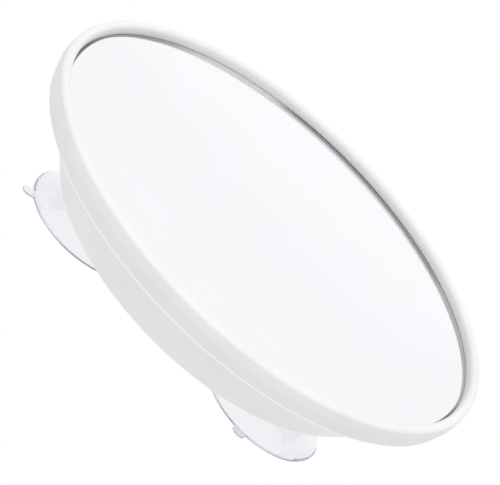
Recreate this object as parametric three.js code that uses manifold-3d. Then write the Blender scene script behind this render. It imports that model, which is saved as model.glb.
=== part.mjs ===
// A round makeup mirror that sticks to a wall or a bathroom mirror with three suction cups.
// Millimetres, +Z up. The origin is in the middle of the wall plane that the cups' lips touch,
// and the mirror faces -Y. Inside the head group, y is the depth behind the bezel's front plane.
import * as THREE from "three";
import { mergeVertices } from "three/addons/utils/BufferGeometryUtils.js";
import Module from "manifold-3d";

const wasm = await Module();
wasm.setup();

// Gaps between neighbouring pieces
const seatGap = 0.3;
const radialFit = 0.3;
const rimFit = 0.5;

// Concave mirror glass
const glassRadius = 73;
const glassThickness = 2;
const mirrorCurveRadius = 320;
const glassBevel = 0.4;

// Film that keeps the pieces together if the glass breaks
const filmThickness = 0.4;

// Foam tape between the film and the carrier
const foamThickness = 1.5;
const foamRingInset = 13;
const foamRingWidth = 7;
const foamPadRadius = 10;
const foamPadCircleRadius = 28;

// Front bezel
const skirtWall = 1.7;
const lipOverlap = 1.1;
const lipDepth = 2.9;
const lipRoundWidth = 1.1;
const lipRoundDepth = 2.5;
const noseDepth = 2.5;
const skirtTaperLength = 3.7;
const skirtTaper = 0.8;
const skirtEdgeRound = 1.3;
const snapBeadHeight = 1.1;
const snapBeadWidth = 0.6;
const snapLeadIn = 0.3;

// Back shell
const shellWall = 2.2;
const flangeSeatWidth = 2.7;
const flangeFit = 0.4;
const flangeEdgeThickness = 1.2;
const shellWaistStep = 1.9;
const shellSlopeWidth = 16.1;
const shellCornerRadius = 5.5;
const carrierRoom = 5.1;
const pillarRadius = 4.8;
const pillarHeight = 3.4;
const socketRingRadius = 8.6;
const socketRingWall = 1.4;
const socketRingHeight = 2.2;
const gussetThickness = 1.2;
const gussetHeight = 7;
const gussetReach = 5;

// Glass carrier
const carrierThickness = 1.8;
const carrierRibThickness = 1.4;
const carrierRibHeight = 1.6;
const carrierRibInnerRadius = 8;
const carrierBossRadius = 3.9;
const bossFloor = 1.3;

// Self-tapping screws that hold the carrier to the shell
const screwCircleInset = 18.9;
const screwRadius = 1.3;
const screwHeadRadius = 2.8;
const screwHeadHeight = 1.7;
const screwHeadCrown = 0.6;
const screwTipLength = 1;
const screwTipGap = 0.4;
const screwWellDepth = 2.6;
const crossSlotWidth = 0.8;
const crossSlotLength = 3.2;
const crossSlotDepth = 1;

// Suction cups
const cupCircleInset = 15.4;
const cupRadius = 19.8;
const cupHeight = 9.5;
const cupHollowDepth = 7;
const cupLipWidth = 1.4;
const cupLipThickness = 0.5;
const cupLipRound = 0.15;
const cupShoulderRadius = 6.6;
const cupShoulderHeight = 0.9;
const cupNeckRadius = 4;
const cupNeckPlay = 0.4;
const cupHeadRadius = 5.8;
const cupHeadHeight = 3.2;
const cupHeadBand = 0.8;
const cupHeadTopRadius = 2.8;
const tabLength = 3.6;
const tabWidth = 4.4;
const tabThickness = 0.5;
// Where the bell's outer curve bends, as shares of its width and its height
const flareShares = { neck: 0.3, lip: 0.36, rise: 0.28 };

// How fine the round forms are
const ringSteps = 72;
const innerRingSteps = 48;
const cupSteps = 36;
const smallSteps = 16;
const arcSteps = 4;

// One reach past a surface, for every cut and every join
const overrun = 0.6;

// Counts and directions, in degrees clockwise from straight up as seen from the front
const cupCount = 3;
const ribCount = 6;
const gussetCount = 12;
const cupTabTurns = [8, 58.1, -5.9];
const turn = 360;

const openingRadius = glassRadius - lipOverlap;
const pocketRadius = glassRadius + radialFit;
const frameRadius = pocketRadius + skirtWall;
const noseRadius = openingRadius + lipRoundWidth;
const seamRadius = frameRadius - skirtTaper;
const glassEdgeDepth = lipDepth + seatGap;
const flangeRadius = pocketRadius - flangeFit;
const flangeOffset = glassThickness + seatGap;
const shellWaistRadius = flangeRadius - shellWaistStep;
const shellFlatRadius = shellWaistRadius - shellSlopeWidth;
const cupCircleRadius = shellFlatRadius - cupCircleInset;
const screwCircleRadius = shellFlatRadius - screwCircleInset;
const foamRingOuterRadius = glassRadius - foamRingInset;

const filmOffset = glassThickness + seatGap;
const foamOffset = filmOffset + filmThickness + seatGap;
const carrierOffset = foamOffset + foamThickness + seatGap;
const carrierBackOffset = carrierOffset + carrierThickness;

// Depth of the surface that lies `offset` behind the mirror's face, at a distance from the axis.
function behindMirror(offset, radius) {
  const vertexDepth = glassEdgeDepth + sagitta(mirrorCurveRadius, glassRadius);
  return vertexDepth + offset - sagitta(mirrorCurveRadius + offset, radius);
}

function sagitta(curveRadius, radius) {
  return curveRadius - Math.sqrt(curveRadius ** 2 - radius ** 2);
}

const shoulderDepth = behindMirror(flangeOffset, flangeRadius) + flangeEdgeThickness;
const beadDepth = shoulderDepth + seatGap;
const bezelDepth = beadDepth + snapBeadWidth;
const floorDepth = behindMirror(carrierBackOffset, 0) + carrierRoom;
const backDepth = floorDepth + shellWall;
const overallDepth = backDepth + seatGap + cupHeight;
const pillarTopDepth = floorDepth - pillarHeight;

// The shell's side is a straight line from its waist that runs tangent into the round back corner.
const cornerDepth = backDepth - shellCornerRadius;
const waistToCorner = new THREE.Vector2(
  shellWaistRadius - shellFlatRadius,
  cornerDepth - bezelDepth,
);
const wallLean =
  Math.atan2(waistToCorner.x, waistToCorner.y) -
  Math.asin(shellCornerRadius / waistToCorner.length());

function shellOuterRadius(depth) {
  return shellWaistRadius - (depth - bezelDepth) * Math.tan(wallLean);
}

function shellInnerRadius(depth) {
  return shellOuterRadius(depth) - shellWall / Math.cos(wallLean);
}

// Radius of a disc that fits inside the shell's side wall with its back `offset` behind the mirror.
function radiusInShell(offset) {
  return shellInnerRadius(behindMirror(offset, foamRingOuterRadius)) - rimFit;
}

const filmRadius = radiusInShell(filmOffset + filmThickness);
const carrierRadius = radiusInShell(carrierBackOffset);

// Materials
const whitePlastic = new THREE.MeshStandardMaterial({ color: 0xe6e5e2, roughness: 0.38 });
const mirrorGlass = new THREE.MeshStandardMaterial({ color: 0xf2f5f8, roughness: 0.02, metalness: 1 });
const greyFilm = new THREE.MeshStandardMaterial({ color: 0x8c9196, roughness: 0.6 });
const whiteFoam = new THREE.MeshStandardMaterial({ color: 0xd8d8d4, roughness: 0.95 });
const innerPlastic = new THREE.MeshStandardMaterial({ color: 0xd2d2ce, roughness: 0.6 });
const zincSteel = new THREE.MeshStandardMaterial({ color: 0xb9bcc0, roughness: 0.3, metalness: 1 });
const clearVinyl = new THREE.MeshStandardMaterial({
  color: 0xdfe3f4,
  roughness: 0.12,
  transparent: true,
  opacity: 0.45,
});

function solidFrom(geometry) {
  const bare = geometry.index ? geometry.toNonIndexed() : geometry.clone();
  bare.deleteAttribute("normal");
  bare.deleteAttribute("uv");
  const merged = mergeVertices(bare);
  return new wasm.Manifold(
    new wasm.Mesh({
      numProp: 3,
      vertProperties: merged.attributes.position.array,
      triVerts: new Uint32Array(merged.index.array),
    }),
  );
}

function geometryFrom(solid) {
  const { vertProperties, triVerts } = solid.getMesh();
  const geometry = new THREE.BufferGeometry();
  geometry.setAttribute("position", new THREE.BufferAttribute(vertProperties, 3));
  geometry.setIndex(new THREE.BufferAttribute(triVerts, 1));
  geometry.computeVertexNormals();
  return geometry;
}

// A closed outline of [radius, depth] points, turned about the Y axis.
function turned(outline, steps) {
  const points = outline.map(([radius, depth]) => new THREE.Vector2(radius, depth));
  if (THREE.ShapeUtils.area(points) < 0) points.reverse();
  points.push(points[0].clone());
  return solidFrom(new THREE.LatheGeometry(points, steps));
}

// Points along an ellipse, from one angle to another, in degrees.
function arc(centreRadius, centreDepth, radiusAcross, radiusAlong, from, to, steps = arcSteps) {
  return Array.from({ length: steps + 1 }, (_, i) => {
    const angle = THREE.MathUtils.degToRad(from + ((to - from) * i) / steps);
    return [
      centreRadius + radiusAcross * Math.cos(angle),
      centreDepth + radiusAlong * Math.sin(angle),
    ];
  });
}

// Points along a surface concentric with the mirror's face, from one radius to another.
function alongMirror(offset, from, to, steps) {
  return Array.from({ length: steps + 1 }, (_, i) => {
    const radius = from + ((to - from) * i) / steps;
    return [radius, behindMirror(offset, radius)];
  });
}

function post(radius, from, to, steps = smallSteps) {
  const length = to - from;
  return new THREE.CylinderGeometry(radius, radius, length, steps).translate(0, from + length / 2, 0);
}

function placeOnCircle(object, circleRadius, degrees) {
  const angle = THREE.MathUtils.degToRad(degrees);
  object.position.x = circleRadius * Math.sin(angle);
  object.position.z = circleRadius * Math.cos(angle);
  return object;
}

// A copy of a solid, moved out to the circle at that direction.
function atDirection(solid, circleRadius, degrees) {
  const spot = placeOnCircle(new THREE.Object3D(), circleRadius, degrees);
  return solid.translate([spot.position.x, 0, spot.position.z]);
}

function directions(count, first = 0) {
  return Array.from({ length: count }, (_, i) => first + (turn * i) / count);
}

const cupDirections = directions(cupCount);
const screwDirections = directions(cupCount, turn / (2 * cupCount));

// Slabs that stand on edge along the mirror's radius, one for each direction.
function radialSlabs(count, first, thickness, inner, outer, from, to) {
  const slab = new THREE.BoxGeometry(thickness, to - from, outer - inner);
  slab.translate(0, (from + to) / 2, (inner + outer) / 2);
  return directions(count, first)
    .map((degrees) => solidFrom(slab).rotate([0, degrees, 0]))
    .reduce((joined, next) => joined.add(next));
}

function makeBezel() {
  const beadRadius = pocketRadius - snapBeadHeight;
  const edgeCentre = seamRadius - skirtEdgeRound;
  return turned(
    [
      [openingRadius, lipDepth],
      ...arc(noseRadius, lipRoundDepth, lipRoundWidth, lipRoundDepth, 180, 270),
      ...arc(noseRadius, noseDepth, frameRadius - noseRadius, noseDepth, 270, 360),
      [frameRadius, bezelDepth - skirtTaperLength],
      ...arc(edgeCentre, bezelDepth - skirtEdgeRound, skirtEdgeRound, skirtEdgeRound, 0, 90),
      [beadRadius + snapLeadIn, bezelDepth],
      [beadRadius, bezelDepth - snapLeadIn],
      [beadRadius, beadDepth],
      [pocketRadius, beadDepth],
      [pocketRadius, lipDepth],
    ],
    ringSteps,
  );
}

function makeGlass() {
  const curveSteps = 4;
  const edgeBack = behindMirror(glassThickness, glassRadius);
  return turned(
    [
      ...alongMirror(0, 0, glassRadius - glassBevel, curveSteps),
      [glassRadius, glassEdgeDepth + glassBevel],
      [glassRadius, edgeBack],
      ...alongMirror(glassThickness, glassRadius - glassBevel, 0, curveSteps),
    ],
    ringSteps,
  );
}

function makeFilm() {
  const curveSteps = 4;
  return turned(
    [
      ...alongMirror(filmOffset, 0, filmRadius, curveSteps),
      ...alongMirror(filmOffset + filmThickness, filmRadius, 0, curveSteps),
    ],
    innerRingSteps,
  );
}

function makeFoamRing() {
  const inner = foamRingOuterRadius - foamRingWidth;
  return turned(
    [
      ...alongMirror(foamOffset, inner, foamRingOuterRadius, 1),
      ...alongMirror(foamOffset + foamThickness, foamRingOuterRadius, inner, 1),
    ],
    innerRingSteps,
  );
}

// A round foam pad that follows the curved glass. Its axis starts on the mirror's own axis here.
function makeFoamPad() {
  const curveSteps = 3;
  return turned(
    [
      ...alongMirror(foamOffset, 0, foamPadRadius, curveSteps),
      ...alongMirror(foamOffset + foamThickness, foamPadRadius, 0, curveSteps),
    ],
    smallSteps,
  );
}

// The tilt about the mirror's centre of curvature that carries a pad out to its own circle.
function swungPad(solid, degrees) {
  const curveCentre = behindMirror(0, 0) - mirrorCurveRadius;
  const tilt = THREE.MathUtils.radToDeg(
    Math.asin(foamPadCircleRadius / (mirrorCurveRadius + foamOffset)),
  );
  return solid
    .translate([0, -curveCentre, 0])
    .rotate([tilt, 0, 0])
    .translate([0, curveCentre, 0])
    .rotate([0, degrees, 0]);
}

function makeCarrier() {
  const curveSteps = 5;
  const plate = turned(
    [
      ...alongMirror(carrierOffset, 0, carrierRadius, curveSteps),
      ...alongMirror(carrierBackOffset, carrierRadius, 0, curveSteps),
    ],
    innerRingSteps,
  );
  const ribRadius = carrierRadius - overrun;
  const ribZone = turned(
    [
      ...alongMirror(carrierBackOffset - overrun, 0, ribRadius, curveSteps),
      ...alongMirror(carrierBackOffset + carrierRibHeight, ribRadius, 0, curveSteps),
    ],
    innerRingSteps,
  );
  const ribs = radialSlabs(
    ribCount,
    0,
    carrierRibThickness,
    carrierRibInnerRadius,
    carrierRadius,
    behindMirror(carrierOffset, carrierRadius),
    floorDepth,
  ).intersect(ribZone);
  const bossRoot = behindMirror(carrierBackOffset, screwCircleRadius) - overrun;
  const bossEnd = pillarTopDepth - seatGap;
  const boss = solidFrom(post(carrierBossRadius, bossRoot, bossEnd));
  const pilotEnd = behindMirror(carrierOffset, screwCircleRadius) + bossFloor;
  const pilot = solidFrom(post(screwRadius + radialFit, pilotEnd, bossEnd + overrun));
  let carrier = plate.add(ribs);
  for (const degrees of screwDirections) {
    carrier = carrier.add(atDirection(boss, screwCircleRadius, degrees));
    carrier = carrier.subtract(atDirection(pilot, screwCircleRadius, degrees));
  }
  return carrier;
}

// The round back corner, as points from the side wall to the flat back.
function backCorner(radius) {
  const start = THREE.MathUtils.radToDeg(wallLean);
  return arc(shellFlatRadius, cornerDepth, radius, radius, start, 90);
}

function makeShellBody() {
  const seatInner = flangeRadius - flangeSeatWidth;
  return turned(
    [
      [seatInner, behindMirror(flangeOffset, seatInner)],
      [flangeRadius, behindMirror(flangeOffset, flangeRadius)],
      [flangeRadius, shoulderDepth],
      [shellOuterRadius(shoulderDepth), shoulderDepth],
      ...backCorner(shellCornerRadius),
      [0, backDepth],
      [0, floorDepth],
      ...backCorner(shellCornerRadius - shellWall).reverse(),
      [shellInnerRadius(shoulderDepth), shoulderDepth],
    ],
    ringSteps,
  );
}

// Webs that stiffen the corner between the shell's floor and its side wall.
function makeGussets() {
  const inner = shellFlatRadius - gussetReach;
  const webTop = floorDepth - gussetHeight;
  const wallRadius = shellInnerRadius(webTop);
  const zone = turned(
    [
      [inner, floorDepth],
      [inner, floorDepth + shellWall / 2],
      ...backCorner(shellCornerRadius - shellWall / 2).reverse(),
      [wallRadius + shellWall / 2, webTop],
      [wallRadius - gussetThickness, webTop],
    ],
    ringSteps,
  );
  const first = turn / (2 * gussetCount);
  const slabs = radialSlabs(gussetCount, first, gussetThickness, inner, frameRadius, webTop, backDepth);
  return slabs.intersect(zone);
}

function makeShell() {
  let shell = makeShellBody().add(makeGussets());
  const pillar = solidFrom(post(pillarRadius, pillarTopDepth, floorDepth + overrun));
  const screwHole = solidFrom(post(screwRadius + radialFit, pillarTopDepth - overrun, backDepth + overrun));
  const well = solidFrom(post(screwHeadRadius + radialFit, backDepth - screwWellDepth, backDepth + overrun));
  for (const degrees of screwDirections) {
    shell = shell.add(atDirection(pillar, screwCircleRadius, degrees));
    shell = shell.subtract(atDirection(screwHole.add(well), screwCircleRadius, degrees));
  }
  const ringTop = floorDepth - socketRingHeight;
  const ring = solidFrom(post(socketRingRadius, ringTop, floorDepth + overrun)).subtract(
    solidFrom(post(socketRingRadius - socketRingWall, ringTop - overrun, floorDepth)),
  );
  const socket = solidFrom(post(cupNeckRadius + radialFit, ringTop - overrun, backDepth + overrun, cupSteps));
  for (const degrees of cupDirections) {
    shell = shell.add(atDirection(ring, cupCircleRadius, degrees));
    shell = shell.subtract(atDirection(socket, cupCircleRadius, degrees));
  }
  return shell;
}

function makeScrew() {
  const seat = backDepth - screwWellDepth + seatGap;
  const headTop = seat + screwHeadHeight;
  const tip = behindMirror(carrierOffset, screwCircleRadius) + bossFloor + screwTipGap;
  const body = turned(
    [
      [0, tip],
      [screwRadius, tip + screwTipLength],
      [screwRadius, seat],
      [screwHeadRadius, seat],
      [screwHeadRadius, headTop - screwHeadCrown],
      [screwHeadRadius - screwHeadCrown, headTop],
      [0, headTop],
    ],
    smallSteps,
  );
  const slot = new THREE.BoxGeometry(crossSlotLength, crossSlotDepth + overrun, crossSlotWidth);
  slot.translate(0, headTop - (crossSlotDepth - overrun) / 2, 0);
  const cross = solidFrom(slot).add(solidFrom(slot).rotate([0, turn / 4, 0]));
  return body.subtract(cross);
}

// The cup is moulded in one piece. Here y is the distance behind the shell's back face.
function makeCup() {
  const lipPlane = seatGap + cupHeight;
  const lipInner = cupRadius - cupLipWidth;
  const domeRadius = (lipInner ** 2 + cupHollowDepth ** 2) / (2 * cupHollowDepth);
  const domeCentre = lipPlane - cupHollowDepth + domeRadius;
  const domeAngle = THREE.MathUtils.radToDeg(Math.asin(lipInner / domeRadius));
  const headBase = -(shellWall + cupNeckPlay);
  const shoulderTop = seatGap + cupShoulderHeight;
  const flare = new THREE.CubicBezierCurve(
    new THREE.Vector2(cupShoulderRadius, shoulderTop),
    new THREE.Vector2(cupShoulderRadius + flareShares.neck * (cupRadius - cupShoulderRadius), shoulderTop),
    new THREE.Vector2(
      cupRadius - flareShares.lip * (cupRadius - cupShoulderRadius),
      lipPlane - cupLipThickness - flareShares.rise * (cupHeight - cupShoulderHeight),
    ),
    new THREE.Vector2(cupRadius, lipPlane - cupLipThickness),
  );
  const domeSteps = 5;
  const body = turned(
    [
      [0, headBase - cupHeadHeight],
      [cupHeadTopRadius, headBase - cupHeadHeight],
      [cupHeadRadius, headBase - cupHeadBand],
      [cupHeadRadius, headBase],
      [cupNeckRadius, headBase],
      [cupNeckRadius, seatGap],
      [cupShoulderRadius, seatGap],
      ...flare.getPoints(domeSteps).map((point) => [point.x, point.y]),
      [cupRadius, lipPlane - cupLipRound],
      [cupRadius - cupLipRound, lipPlane],
      ...arc(0, domeCentre, domeRadius, domeRadius, domeAngle - 90, -90, domeSteps),
    ],
    cupSteps,
  );
  return body.add(makeTab(lipPlane));
}

// The tongue on the lip that a finger pulls to let air in. It points along +Z here.
function makeTab(lipPlane) {
  const endRadius = tabWidth / 2;
  const root = cupRadius - cupLipWidth / 2;
  const endCentre = cupRadius + tabLength - endRadius;
  const outline = new THREE.Shape();
  outline.moveTo(-endRadius, root);
  outline.lineTo(endRadius, root);
  outline.lineTo(endRadius, endCentre);
  outline.absarc(0, endCentre, endRadius, 0, Math.PI, false);
  const tab = new THREE.ExtrudeGeometry(outline, {
    depth: tabThickness,
    bevelEnabled: false,
    curveSegments: 2 * arcSteps,
  });
  tab.rotateX(Math.PI / 2);
  return solidFrom(tab.translate(0, lipPlane, 0));
}

function node(name, solid, material) {
  const mesh = new THREE.Mesh(geometryFrom(solid), material);
  mesh.name = name;
  return mesh;
}

const head = new THREE.Group();
head.position.y = -overallDepth;
head.add(node("front_bezel", makeBezel(), whitePlastic));
head.add(node("mirror_glass", makeGlass(), mirrorGlass));
head.add(node("safety_film", makeFilm(), greyFilm));
head.add(node("foam_ring", makeFoamRing(), whiteFoam));
head.add(node("glass_carrier", makeCarrier(), innerPlastic));
head.add(node("back_shell", makeShell(), whitePlastic));

const pad = makeFoamPad();
const screw = makeScrew();
const cup = makeCup();
for (let i = 0; i < cupCount; i++) {
  const number = i + 1;
  const tabTurn = cupTabTurns[i % cupTabTurns.length];
  head.add(node(`foam_pad_${number}`, swungPad(pad, cupDirections[i]), whiteFoam));

  const screwNode = node(`carrier_screw_${number}`, screw, zincSteel);
  head.add(placeOnCircle(screwNode, screwCircleRadius, screwDirections[i]));

  const cupNode = node(`suction_cup_${number}`, cup, clearVinyl);
  cupNode.position.y = backDepth;
  cupNode.rotation.y = THREE.MathUtils.degToRad(cupDirections[i] + tabTurn);
  head.add(placeOnCircle(cupNode, cupCircleRadius, cupDirections[i]));
}

const mirror = new THREE.Group();
mirror.add(head);

export default mirror;
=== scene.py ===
"""A round makeup mirror that sticks to a wall with three clear suction cups.

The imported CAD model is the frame. The script builds the smooth white bezel and back shell, the
silvered concave glass, the cross-head screws and the clear vinyl cups over that frame, gives
every piece its finish, and sets the small product studio round it.
"""

import logging
import math
from dataclasses import dataclass
from enum import Enum
from typing import Any

import bmesh
import bpy
from mathutils import Matrix, Vector


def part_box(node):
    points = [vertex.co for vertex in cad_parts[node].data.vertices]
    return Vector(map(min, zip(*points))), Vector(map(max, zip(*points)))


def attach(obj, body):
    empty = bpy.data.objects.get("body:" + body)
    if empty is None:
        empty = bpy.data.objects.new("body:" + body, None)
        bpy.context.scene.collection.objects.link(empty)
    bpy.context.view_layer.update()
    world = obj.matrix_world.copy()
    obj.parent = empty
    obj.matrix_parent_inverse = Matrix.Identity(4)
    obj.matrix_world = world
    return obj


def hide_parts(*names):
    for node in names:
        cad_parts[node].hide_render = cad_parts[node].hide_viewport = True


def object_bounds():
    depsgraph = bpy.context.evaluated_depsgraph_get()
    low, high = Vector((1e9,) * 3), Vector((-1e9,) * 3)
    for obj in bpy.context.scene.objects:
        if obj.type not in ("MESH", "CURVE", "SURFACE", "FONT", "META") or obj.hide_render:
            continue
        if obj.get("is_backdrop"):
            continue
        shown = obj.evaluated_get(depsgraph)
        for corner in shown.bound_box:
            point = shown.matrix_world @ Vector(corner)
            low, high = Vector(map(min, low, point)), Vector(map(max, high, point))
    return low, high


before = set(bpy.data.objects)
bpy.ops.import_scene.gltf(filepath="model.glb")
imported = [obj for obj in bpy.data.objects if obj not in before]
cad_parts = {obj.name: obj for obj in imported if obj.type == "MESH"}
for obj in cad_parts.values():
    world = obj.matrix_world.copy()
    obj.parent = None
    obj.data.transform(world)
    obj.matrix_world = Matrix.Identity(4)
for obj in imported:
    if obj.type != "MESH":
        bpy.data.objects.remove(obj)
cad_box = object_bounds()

MM = 0.001
WELD = 1e-6
CIRCLE = 360.0
WHITE = (1.0, 1.0, 1.0, 1.0)

log = logging.getLogger("makeup_mirror")

Point = tuple[float, float]
Place = tuple[float, float, float]
Colour = tuple[float, float, float]
Table = tuple[tuple[float, ...], ...]


class Ending(Enum):
    """Whether an outline comes back to its first point or stops on the turning axis."""

    LOOP = "loop"
    ON_AXIS = "on axis"


class Cut(Enum):
    """What one solid does to another."""

    ADD = "UNION"
    TAKE_AWAY = "DIFFERENCE"


class VinylPart(Enum):
    """Values stored on the cups: thin sheet, painted shade, painted edge line and its tone."""

    THIN = "thin_sheet"
    SHADE = "sheet_shade"
    EDGE = "cut_edge"
    TONE = "edge_tone"


def srgb(red: int, green: int, blue: int) -> Colour:
    """A colour as a screen shows it, turned into linear light.

    Args:
        red: Red, 0 to 255.
        green: Green, 0 to 255.
        blue: Blue, 0 to 255.

    Returns:
        The linear colour.
    """

    def linear(value: int) -> float:
        """One channel in linear light."""
        share = value / 255
        return share / 12.92 if share <= 0.04045 else ((share + 0.055) / 1.055) ** 2.4

    return linear(red), linear(green), linear(blue)


def with_alpha(colour: Colour) -> tuple[float, float, float, float]:
    """The colour with full opacity, as a colour socket takes it."""
    return (*colour, 1.0)


def clamped(value: float) -> float:
    """The value held between 0 and 1."""
    return min(1.0, max(0.0, value))


def read_off(table: Table, key: float) -> tuple[float, ...]:
    """Reads a row from a table, between two of its rows where needed.

    Args:
        table: Rows in rising order, each a key followed by its values.
        key: Where to read. Before the first row or past the last one it gives that row.

    Returns:
        The values at the key.
    """
    if key <= table[0][0]:
        return table[0][1:]
    for low, high in zip(table, table[1:]):
        if key <= high[0]:
            share = (key - low[0]) / (high[0] - low[0])
            return tuple(a + share * (b - a) for a, b in zip(low[1:], high[1:]))
    return table[-1][1:]


class NodeSheet:
    """A node tree that is filled by one method, whatever the node."""

    def __init__(self, tree: bpy.types.NodeTree) -> None:
        """Starts from an empty tree.

        Args:
            tree: The tree to fill.
        """
        self.tree = tree
        tree.nodes.clear()

    def node(self, kind: str, settings: dict[str, Any] | None = None, **sockets: Any) -> bpy.types.Node:
        """Adds a node, sets its own settings first and then its sockets.

        Args:
            kind: The node's type.
            settings: The node's properties.
            sockets: A value or link for each input, by its name in small letters with underscores,
                or by its number after an underscore.

        Returns:
            The node.
        """
        made = self.tree.nodes.new(kind)
        for name, value in (settings or {}).items():
            setattr(made, name, value)
        for name, value in sockets.items():
            self.feed(self._input(made, name), value)
        return made

    @staticmethod
    def _input(node: bpy.types.Node, name: str) -> bpy.types.NodeSocket:
        """The input of that name that is in use on the node.

        Args:
            node: The node.
            name: The name in small letters, or an underscore and a number.

        Returns:
            The socket.
        """
        if name[1:].isdigit():
            return node.inputs[int(name[1:])]
        for socket in node.inputs:
            if socket.enabled and socket.name.lower().replace(" ", "_") == name:
                return socket
        raise KeyError(f"{node.bl_idname} has no input named {name}")

    def feed(self, socket: bpy.types.NodeSocket, value: Any) -> None:
        """Links or sets one socket.

        Args:
            socket: The input.
            value: A Signal, another socket, or a plain value.
        """
        if isinstance(value, Signal):
            value = value.socket
        if isinstance(value, bpy.types.NodeSocket):
            self.tree.links.new(value, socket)
        else:
            socket.default_value = value

    def signal(
        self, kind: str, settings: dict[str, Any] | None = None, out: int | str = 0, **sockets: Any
    ) -> "Signal":
        """Adds a node and wraps one of its outputs.

        Args:
            kind: The node's type.
            settings: The node's properties.
            out: The output's number or name.
            sockets: Values or links for the inputs.

        Returns:
            The wrapped output.
        """
        return Signal(self, self.node(kind, settings, **sockets).outputs[out])


class Signal:
    """A number in a node tree. Python's operators on it add the Math nodes."""

    def __init__(self, sheet: NodeSheet, socket: bpy.types.NodeSocket) -> None:
        """Wraps a socket.

        Args:
            sheet: The tree that it belongs to.
            socket: The output that gives the number.
        """
        self.sheet = sheet
        self.socket = socket

    def _math(self, operation: str, *values: "Signal | float") -> "Signal":
        """Adds a Math node.

        Args:
            operation: What it does.
            values: Its inputs, in order.

        Returns:
            The result.
        """
        inputs = {f"_{place}": value for place, value in enumerate(values)}
        return self.sheet.signal("ShaderNodeMath", {"operation": operation}, **inputs)

    def __add__(self, other: "Signal | float") -> "Signal":
        """Sum."""
        return self._math("ADD", self, other)

    __radd__ = __add__

    def __sub__(self, other: "Signal | float") -> "Signal":
        """Difference."""
        return self._math("SUBTRACT", self, other)

    def __rsub__(self, other: "Signal | float") -> "Signal":
        """Difference from a plain number."""
        return self._math("SUBTRACT", other, self)

    def __mul__(self, other: "Signal | float") -> "Signal":
        """Product."""
        return self._math("MULTIPLY", self, other)

    __rmul__ = __mul__

    def __truediv__(self, other: "Signal | float") -> "Signal":
        """Quotient."""
        return self._math("DIVIDE", self, other)

    def __rtruediv__(self, other: "Signal | float") -> "Signal":
        """Quotient of a plain number."""
        return self._math("DIVIDE", other, self)

    def __pow__(self, other: "Signal | float") -> "Signal":
        """Power."""
        return self._math("POWER", self, other)

    def __rpow__(self, other: "Signal | float") -> "Signal":
        """Power of a plain number."""
        return self._math("POWER", other, self)

    def __neg__(self) -> "Signal":
        """The same with the other sign."""
        return self._math("MULTIPLY", self, -1.0)

    def __abs__(self) -> "Signal":
        """Size without the sign."""
        return self._math("ABSOLUTE", self)

    def sine(self) -> "Signal":
        """Sine of the angle."""
        return self._math("SINE", self)

    def cosine(self) -> "Signal":
        """Cosine of the angle."""
        return self._math("COSINE", self)

    def larger(self, other: "Signal | float") -> "Signal":
        """The larger of the two."""
        return self._math("MAXIMUM", self, other)

    def step(self, low: float, high: float) -> "Signal":
        """A soft step from 0 at one value to 1 at another.

        Args:
            low: Where the step starts.
            high: Where it ends.

        Returns:
            The step.
        """
        return self.sheet.signal(
            "ShaderNodeMapRange",
            {"interpolation_type": "SMOOTHSTEP"},
            value=self,
            from_min=low,
            from_max=high,
        )


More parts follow.
